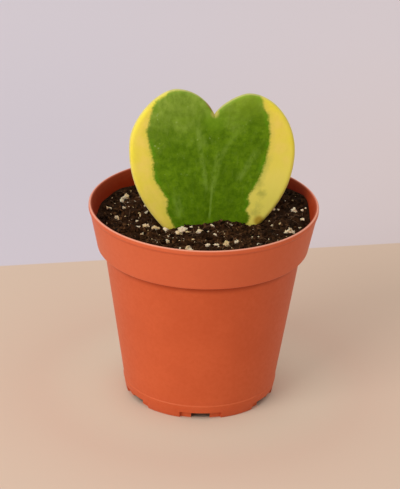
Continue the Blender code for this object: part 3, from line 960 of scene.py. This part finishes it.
def leafGreen(paint, u, v, flat, inside, mottle, blotch):
    marks = leafMarks
    leafy = paint.mix(paint.band(blotch, 0.36, 0.64), marks["green"], marks["freshGreen"])
    leafy = paint.mix(paint.band(mottle, 0.5, 0.7) * 0.4, leafy, marks["paleVein"])
    leafy = paint.mix(paint.band(mottle, 0.46, 0.32) * 0.25, leafy, marks["darkVein"])
    patch = paint.noise(flat, 0.11, 2.0, 0.5)
    leafy = paint.mix(paint.band(patch, 0.6, 0.42) * 0.3, leafy, marks["darkPatch"])
    # a painted sheen: the upper left lobe is painted paler
    lobeSheen = paint.band(v - 0.35 * u + (patch - 0.5) * 34.0, 44.0, 70.0)
    leafy = paint.mix(lobeSheen * (0.5 + 0.45 * paint.band(mottle, 0.36, 0.64)), leafy, marks["lobeSheen"])
    for start, end, width, strength in marks["streaks"]:
        streak = streakMask(paint, flat, start, end, width) * paint.band(mottle, 0.3, 0.55)
        leafy = paint.mix(streak * strength, leafy, marks["streak"])
    # pale specks here and there on the upper left
    specks = paint.band(paint.cells(flat, 0.6), 0.3, 0.1) * paint.band(v - 0.8 * u, 30.0, 60.0)
    specks = specks * paint.band(paint.noise(flat, 0.33, 2.0), 0.55, 0.68)
    leafy = paint.mix(specks * 0.55, leafy, marks["speck"])
    # brighter along the border and round the notch, and a painted highlight on the right lobe
    fringe = paint.band(inside, 2.4, 0.5) * paint.band(paint.noise(flat, 0.2, 1.0), 0.42, 0.58)
    leafy = paint.mix(fringe * 0.55, leafy, marks["fringe"])
    rightLobeHighlight = paint.band(u, 1.0, 9.0) * paint.band(v, 51.0, 62.0)
    leafy = paint.mix(rightLobeHighlight * 0.3, leafy, marks["rightLobeHighlight"])
    notch = paint.band(paint.away(u, v, marks["notchAt"]), 6.0, 1.0)
    return paint.mix(notch * 0.5, leafy, marks["notchGreen"])


def leafYellow(paint, u, v, flat, inside, mottle, blotch, rim):
    marks = leafMarks
    warm = paint.noise(flat, 0.14, 3.0, 0.5)
    yellow = paint.mix(paint.band(warm, 0.35, 0.65), marks["yellow"], marks["cream"])
    # more lemon along the rim
    lemon = paint.band(rim, 3.2, 0.8) * paint.band(v + 0.3 * u, 16.0, 36.0)
    yellow = paint.mix(lemon * 0.5, yellow, marks["lemon"])
    yellow = paint.mix(paint.band(mottle, 0.45, 0.75) * 0.2, yellow, marks["dullYellow"])
    yellow = paint.mix(paint.band(inside, -2.6, -0.3) * 0.35, yellow, marks["borderYellow"])
    # painted light: the lower right margin, which faces away from the key light, is painted brighter
    lowRightLight = paint.band(u, 8.0, 16.0) * paint.band(v, 52.0, 26.0)
    yellow = paint.mix(lowRightLight * 0.8, yellow, marks["litLowYellow"])
    # the border is hazy half way up the right side
    haze = paint.band(inside, -2.8, -0.2) * paint.band(u, 4.0, 9.0) * paint.band(abs(v - 35.0), 8.0, 4.0)
    yellow = paint.mix(haze * 0.36, yellow, marks["haze"])
    for middle, radius, strength in marks["smudges"]:
        away = paint.away(u, v, middle) + (blotch - 0.5) * 4.5
        yellow = paint.mix(paint.band(away, radius, 0.0) * strength, yellow, marks["smudge"])
    return yellow


def leafPaint():
    paint = Paint("variegatedLeaf", Specular_IOR_Level=0.1, Subsurface_Weight=0.12,
                  Subsurface_Scale=1.0 * mm, Subsurface_Radius=(1.0, 1.0, 0.3))
    marks = leafMarks
    mapped = paint.node("ShaderNodeUVMap", dict(uv_map="leafMap"))
    mapSize = leaf["mapSize"] / mm
    u = (paint.split(mapped, "X") - 0.5) * mapSize
    v = paint.split(mapped, "Y") * mapSize
    rim, back = paint.attribute("rimDistance"), paint.attribute("backFace")
    flat = paint.join(u, v, back * 40.0)  # the back has its own part of each noise
    # polar place round the stalk: the fan that the veins follow
    rise = v + marks["fanBelow"]
    fan = u.math("ARCTAN2", rise)
    along = paint.join(fan * 30.0, paint.away(u, rise) * 0.3, back * 7.0)
    # green heart of the blade; a thin yellow margin runs on over the left lobe
    ragged = (paint.noise(flat, 0.3, 2.0) - 0.5) * 1.6 + (paint.noise(flat, 1.3, 2.0, 0.6) - 0.5) * 1.4
    leftward, rightward = borderCurve(paint, v, marks["left"]), borderCurve(paint, v, marks["right"])
    lobeMargin = rim - 0.6 * paint.band(u, -14.5, -19.0) + 5.0 * paint.band(u, -11.0, -8.0)
    inside = (u + leftward).math("MINIMUM", rightward - u).math("MINIMUM", lobeMargin) + ragged
    mottle = paint.noise(along, 1.0, 4.0, 0.7)
    blotch = paint.noise(flat, 0.42, 5.0, 0.7)
    leafy = leafGreen(paint, u, v, flat, inside, mottle, blotch)
    yellow = leafYellow(paint, u, v, flat, inside, mottle, blotch, rim)
    base = paint.mix(paint.band(inside, -0.6, 0.75), yellow, leafy)
    # pale rim, partly the yellow margin and partly a painted highlight where the edge catches light; russet
    # edge and pale cleft at the notch, and the bruise low on the right
    base = paint.mix(paint.band(rim, 0.6, 0.1) * 0.6, base, marks["edge"])
    russet = paint.band(abs(u + 2.0), 1.8, 0.6) * paint.band(abs(v - 58.0), 2.8, 1.2)
    base = paint.mix(russet * paint.band(rim, 1.2, 0.4) * 0.6, base, marks["russet"])
    cleft = paint.band(paint.away(u, v, marks["cleftAt"]), 2.0, 0.6)
    base = paint.mix(cleft * 0.55, base, marks["cleft"])
    bruise = paint.band(paint.away(u, v, marks["bruiseAt"]), 2.6, 0.8)
    base = paint.mix(bruise * 0.75, base, marks["bruise"])
    base = paint.mix(back * 0.25, base, marks["backGreen"])
    paint.set("Base Color", base)
    paint.set("Roughness", 0.42 + 0.18 * mottle)
    relief = paint.noise(flat, 1.1, 3.0, 0.6) * 0.5 + mottle * 0.7
    paint.set("Normal", paint.bump(relief, 0.35, 0.15 * mm))
    return paint.material


def makeLeaf():
    finishPiece(makeBlade(), leafPaint(), "leaf")
    rootTone = Paint("rootSkin", Roughness=0.8)
    point = rootTone.objectPoint(1.0 / mm)
    rootTone.set("Base Color", rootTone.mix(rootTone.noise(point, 0.5, 3.0), stalk["brown"], stalk["tan"]))
    points = stalkRun()
    tubes = [tubeFrom(points, "stalk")]
    draw = random.Random(stalk["seed"])
    for index in range(stalk["roots"]):
        tubes.append(tubeFrom(rootRun(draw, points[-1][0], index), "root"))
    stem = joinPieces(tubes, "stalkAndRoots")
    smooth(stem, 60.0)
    finishPiece(stem, rootTone.material, "leaf")
    print("leaf: blade, stalk and roots")


stage = dict(
    seamAt=0.110, seamTurn=math.radians(11.3), seamHalf=0.0006, size=4.0, gap=0.05 * mm,
    # the second tone on the next line is painted light, the third painted shadow
    near=tone(224, 198, 176), litAroundPot=tone(229, 214, 191), paintedShade=tone(104, 80, 60),
    far=tone(217, 208, 216), warm=tone(226, 211, 210), pale=tone(232, 222, 228),
)


def makeFloor():
    deselectAll()
    bpy.ops.mesh.primitive_plane_add(size=stage["size"], location=(0, 0, cadLow.z - stage["gap"]))
    floor = takeActive("floor")
    bakePlace(floor)
    paint = Paint("floorPaper", Roughness=0.9, Specular_IOR_Level=0.1)
    point = paint.objectPoint()
    x, y = paint.split(point, "X"), paint.split(point, "Y")
    # two papers meet at a straight seam behind the pot
    seam = y - math.tan(stage["seamTurn"]) * x - stage["seamAt"]
    far = paint.mix(paint.band(x, -0.08, 0.1), stage["far"], stage["warm"])
    far = paint.mix(paint.band(y, 0.16, 0.42) * 0.6, far, stage["pale"])
    # painted light: paler round the pot; painted shadow under its foot
    reach = paint.away(x, y)
    near = paint.mix(paint.band(reach, 0.062, 0.034), stage["near"], stage["litAroundPot"])
    foot = pot["footRadius"]
    shade = 0.1 * paint.band(reach, foot + 0.4 * mm, foot - 0.3 * mm)
    shade = shade + 0.55 * paint.band(reach, foot - 1.0 * mm, foot - 2.0 * mm)
    near = paint.mix(shade, near, stage["paintedShade"])
    paint.set("Base Color", paint.mix(paint.band(seam, -stage["seamHalf"], stage["seamHalf"]), near, far))
    floor.data.materials.append(paint.material)


lights = dict(
    key=dict(place=(-0.84, -0.84, 0.62), size=0.8, power=8.2),
    top=dict(place=(-0.1, 0.35, 1.3), size=0.7, power=0.8),
    aim=Vector((0.0, 0.0, 0.05)), room=(1.0, 0.98, 0.97, 1.0), above=0.62, horizon=0.28,
)


def areaLight(name):
    lamp = lights[name]
    deselectAll()
    bpy.ops.object.light_add(type="AREA", location=lamp["place"])
    light = bpy.context.active_object
    light.name = name
    light.data.size = lamp["size"]
    light.data.energy = lamp["power"]
    aim = lights["aim"] - Vector(lamp["place"])
    light.rotation_euler = aim.to_track_quat("-Z", "Y").to_euler()


def makeLights():
    areaLight("key")
    areaLight("top")
    world = bpy.data.worlds.new("softRoom")
    bpy.context.scene.world = world
    world.use_nodes = True
    nodes, links = world.node_tree.nodes, world.node_tree.links
    nodes["Background"].inputs["Color"].default_value = lights["room"]
    # the room is darker towards the horizon
    split = nodes.new("ShaderNodeSeparateXYZ")
    level = nodes.new("ShaderNodeMath")
    level.operation = "MULTIPLY_ADD"
    level.inputs[1].default_value = lights["above"]
    level.inputs[2].default_value = lights["horizon"]
    links.new(nodes.new("ShaderNodeTexCoord").outputs["Generated"], split.inputs[0])
    links.new(split.outputs["Z"], level.inputs[0])
    links.new(level.outputs[0], nodes["Background"].inputs["Strength"])
    bpy.context.scene.view_settings.view_transform = "Standard"


# degrees, metres and the lens in mm
view = dict(place=(0.0, -0.7942, 0.4207), down=24.73, left=0.07, roll=1.48, lens=184.05, sensor=36.0)


def makeCamera():
    deselectAll()
    bpy.ops.object.camera_add(location=view["place"])
    camera = bpy.context.active_object
    aside = Matrix.Rotation(math.radians(view["left"]), 4, "Z")
    tilt = Matrix.Rotation(math.radians(90 - view["down"]), 4, "X")
    roll = Matrix.Rotation(math.radians(view["roll"]), 4, "Z")
    camera.matrix_world = Matrix.Translation(view["place"]) @ aside @ tilt @ roll
    camera.data.lens = view["lens"]
    camera.data.sensor_width = view["sensor"]
    camera.data.clip_start = 0.05
    bpy.context.scene.camera = camera


makePot()
makeSoil()
makeLeaf()
makeFloor()
makeLights()
makeCamera()
print("scene: finished")
